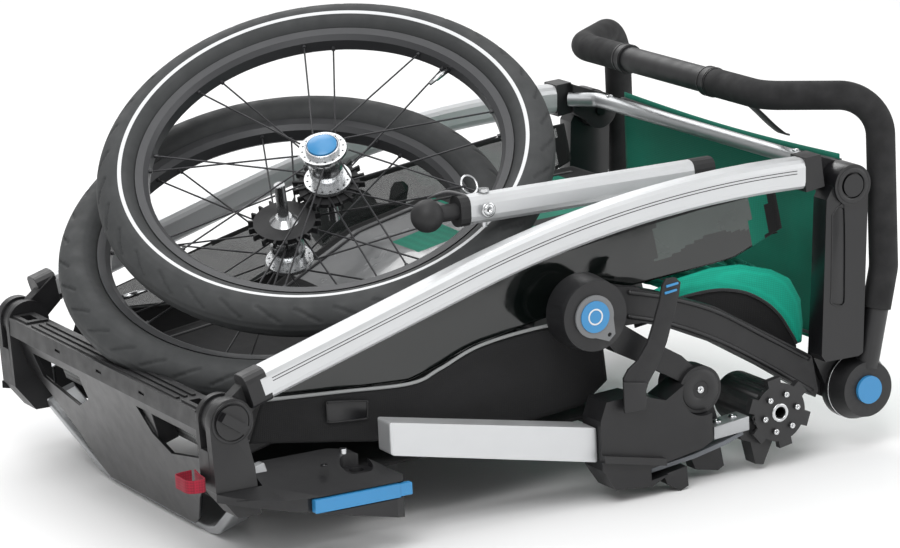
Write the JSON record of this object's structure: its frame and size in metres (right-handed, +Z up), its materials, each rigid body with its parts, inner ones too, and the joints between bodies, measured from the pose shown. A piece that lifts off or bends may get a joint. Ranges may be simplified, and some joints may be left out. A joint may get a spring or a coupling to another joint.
{
  "type": "folded child bicycle trailer",
  "caption": "Folded child bicycle trailer with curved side tubes, hinged links, push handlebar, and its wheels and tow arm stowed on top.",
  "frame": {"origin": "middle of the bounding box's footprint on the ground", "axes": "+X toward the trailer's rear, +Y toward the trailer's right side, +Z up"},
  "size_m": [0.859, 0.631, 0.4874],
  "materials": {
    "frame_black": "satin moulded plastic",
    "silver_tube": "bead-blasted silver",
    "silver_bar": "satin silver",
    "steel_dark": "dark powder coat",
    "tyre": "grey-black rubber",
    "rim": "satin dark grey",
    "spoke": "black steel",
    "hub": "machined",
    "axle": "bright steel",
    "button_blue": "bright blue",
    "ring_grey": "mid grey",
    "foam": "matt foam grip",
    "sleeve": "smooth grip sleeve",
    "fabric_black": "black woven",
    "fabric_green": "green woven",
    "film": "grey clear film with black borders",
    "mesh_grey": "light mesh",
    "webbing_red": "red webbing",
    "webbing_black": "black webbing",
    "rubber_black": "black rubber",
    "leaf": "grey composite spring",
    "screw": "bright screw"
  },
  "bodies": {
    "base": {"front_crossbar": "frame_black", "corner_brackets": "frame_black", "footwell_guard": "frame_black", "footwell_mesh": "mesh_grey", "bumper_bar": "silver_bar", "pull_loop": "webbing_red", "wings": "frame_black", "wing_screws": "screw", "base_rails": "silver_tube", "rear_brackets": "frame_black", "rear_crossbeam": "steel_dark", "floor_fabric": "fabric_black", "lower_side_fabric": "fabric_black", "top_cover": "film", "side_windows": "film", "seat_fabric": "fabric_green"},
    "knob_left": {"knob_left": "frame_black"},
    "knob_right": {"knob_right": "frame_black"},
    "latch_left": {"latch_left": "button_blue"},
    "latch_right": {"latch_right": "button_blue"},
    "upper_frame": {"side_tubes": "silver_tube", "tube_collars": "frame_black", "hoop": "silver_bar"},
    "roof_arms": {"arm_plates": "frame_black", "roof_fabric": "fabric_green"},
    "rear_links": {"rear_links": "frame_black"},
    "lower_links": {"lower_links": "frame_black", "hub_rings": "ring_grey"},
    "fold_button_left": {"fold_button_left": "button_blue"},
    "fold_button_right": {"fold_button_right": "button_blue"},
    "handlebar": {"handle_tube": "frame_black", "foam_grip": "foam", "centre_sleeve": "sleeve", "wrist_strap": "webbing_black"},
    "bar_button_left": {"bar_button_left": "button_blue"},
    "bar_button_right": {"bar_button_right": "button_blue"},
    "axle_lower": {"axle_lower": "axle"},
    "wheel_lower": {"brake_ring_lower": "frame_black", "hub_lower": "hub", "spokes_lower": "spoke", "rim_lower": "rim", "tyre_lower": "tyre"},
    "cap_lower": {"cap_lower": "button_blue"},
    "axle_upper": {"axle_upper": "axle"},
    "wheel_upper": {"brake_ring_upper": "frame_black", "hub_upper": "hub", "spokes_upper": "spoke", "rim_upper": "rim", "tyre_upper": "tyre"},
    "cap_upper": {"cap_upper": "button_blue"},
    "tow_arm": {"tow_tube": "silver_tube", "tow_ball": "rubber_black"},
    "hitch_pin": {"hitch_pin": "axle"},
    "swing_left": {"swing_left": "frame_black", "leaf_left": "leaf"},
    "swing_right": {"swing_right": "frame_black", "leaf_right": "leaf"},
    "strap_left": {"strap_left": "rubber_black"},
    "strap_right": {"strap_right": "rubber_black"}
  },
  "joints": [
    {"name": "frame_fold", "type": "hinge", "parent": "base", "child": "upper_frame", "pos_m": [-0.37996, 0, 0.1613], "axis": [0, -1, 0], "range_deg": [0, 41.6]},
    {"name": "arm_fold", "type": "hinge", "parent": "upper_frame", "child": "roof_arms", "pos_m": [0.36764, 0, 0.3008], "axis": [0, -1, 0], "range_deg": [0, 10.5]},
    {"name": "rear_link_fold", "type": "hinge", "parent": "roof_arms", "child": "rear_links", "pos_m": [0.38344, 0, 0.069], "axis": [0, -1, 0], "range_deg": [0, 48]},
    {"name": "lower_link_fold", "type": "hinge", "parent": "base", "child": "lower_links", "pos_m": [0.16644, 0, 0.106], "axis": [0, -1, 0], "range_deg": [-63.5, 0]},
    {"name": "handlebar_tilt", "type": "hinge", "parent": "roof_arms", "child": "handlebar", "pos_m": [0.38344, 0, 0.069], "axis": [0, 1, 0], "range_deg": [0, 95]},
    {"name": "bar_button_left_press", "type": "slide", "parent": "handlebar", "child": "bar_button_left", "axis": [0, 1, 0], "range_m": [0, 0.003], "stiffness_N_per_m": 500},
    {"name": "fold_button_left_press", "type": "slide", "parent": "lower_links", "child": "fold_button_left", "axis": [0, 1, 0], "range_m": [0, 0.003], "stiffness_N_per_m": 500},
    {"name": "knob_left_turn", "type": "hinge", "parent": "base", "child": "knob_left", "pos_m": [-0.37996, -0.28, 0.1613], "axis": [0, 1, 0], "range_deg": [0, 90]},
    {"name": "latch_left_slide", "type": "slide", "parent": "base", "child": "latch_left", "axis": [1, 0, 0], "range_m": [0, 0.008], "stiffness_N_per_m": 400},
    {"name": "swing_left_flex", "type": "hinge", "parent": "base", "child": "swing_left", "pos_m": [0.10344, -0.282, 0.0265], "axis": [0, -1, 0], "range_deg": [0, 2], "stiffness_Nm_per_rad": 300},
    {"name": "strap_left_release", "type": "hinge", "parent": "base", "child": "strap_left", "pos_m": [0.07444, -0.307, 0.121], "axis": [0, 1, 0], "range_deg": [0, 70]},
    {"name": "bar_button_right_press", "type": "slide", "parent": "handlebar", "child": "bar_button_right", "axis": [0, -1, 0], "range_m": [0, 0.003], "stiffness_N_per_m": 500},
    {"name": "fold_button_right_press", "type": "slide", "parent": "lower_links", "child": "fold_button_right", "axis": [0, -1, 0], "range_m": [0, 0.003], "stiffness_N_per_m": 500},
    {"name": "knob_right_turn", "type": "hinge", "parent": "base", "child": "knob_right", "pos_m": [-0.37996, 0.28, 0.1613], "axis": [0, 1, 0], "range_deg": [0, 90]},
    {"name": "latch_right_slide", "type": "slide", "parent": "base", "child": "latch_right", "axis": [1, 0, 0], "range_m": [0, 0.008], "stiffness_N_per_m": 400},
    {"name": "swing_right_flex", "type": "hinge", "parent": "base", "child": "swing_right", "pos_m": [0.10344, 0.282, 0.0265], "axis": [0, -1, 0], "range_deg": [0, 2], "stiffness_Nm_per_rad": 300},
    {"name": "strap_right_release", "type": "hinge", "parent": "base", "child": "strap_right", "pos_m": [0.07444, 0.307, 0.121], "axis": [0, 1, 0], "range_deg": [0, 70]},
    {"name": "lower_wheel_lift", "type": "slide", "parent": "base", "child": "axle_lower", "axis": [0, 0, 1], "range_m": [0, 0.12]},
    {"name": "lower_wheel_spin", "type": "hinge", "parent": "axle_lower", "child": "wheel_lower", "pos_m": [-0.16456, 0.016, 0.26], "axis": [0.2461, 0.3641, -0.8983], "range_deg": [-12, 12]},
    {"name": "lower_cap_press", "type": "slide", "parent": "axle_lower", "child": "cap_lower", "axis": [-0.2461, -0.3641, 0.8983], "range_m": [0, 0.0024], "stiffness_N_per_m": 500},
    {"name": "upper_wheel_lift", "type": "slide", "parent": "axle_lower", "child": "axle_upper", "axis": [0, 0, 1], "range_m": [0, 0.04]},
    {"name": "upper_wheel_spin", "type": "hinge", "parent": "axle_upper", "child": "wheel_upper", "pos_m": [-0.12166, -0.0007, 0.3451], "axis": [-0.3043, -0.4259, 0.8521], "range_deg": [-12, 12]},
    {"name": "upper_cap_press", "type": "slide", "parent": "axle_upper", "child": "cap_upper", "axis": [0.3043, 0.4259, -0.8521], "range_m": [0, 0.0024], "stiffness_N_per_m": 500},
    {"name": "tow_arm_lift", "type": "slide", "parent": "axle_upper", "child": "tow_arm", "axis": [0, 0, 1], "range_m": [0, 0.08]},
    {"name": "hitch_pin_pull", "type": "slide", "parent": "tow_arm", "child": "hitch_pin", "axis": [0.0058, 0, 1], "range_m": [0, 0.045]}
  ],
  "couplings": [
    {"joint": "arm_fold", "follows": "frame_fold", "ratio": 0.2501},
    {"joint": "rear_link_fold", "follows": "frame_fold", "ratio": 1.1505},
    {"joint": "lower_link_fold", "follows": "frame_fold", "ratio": -1.5213}
  ]
}
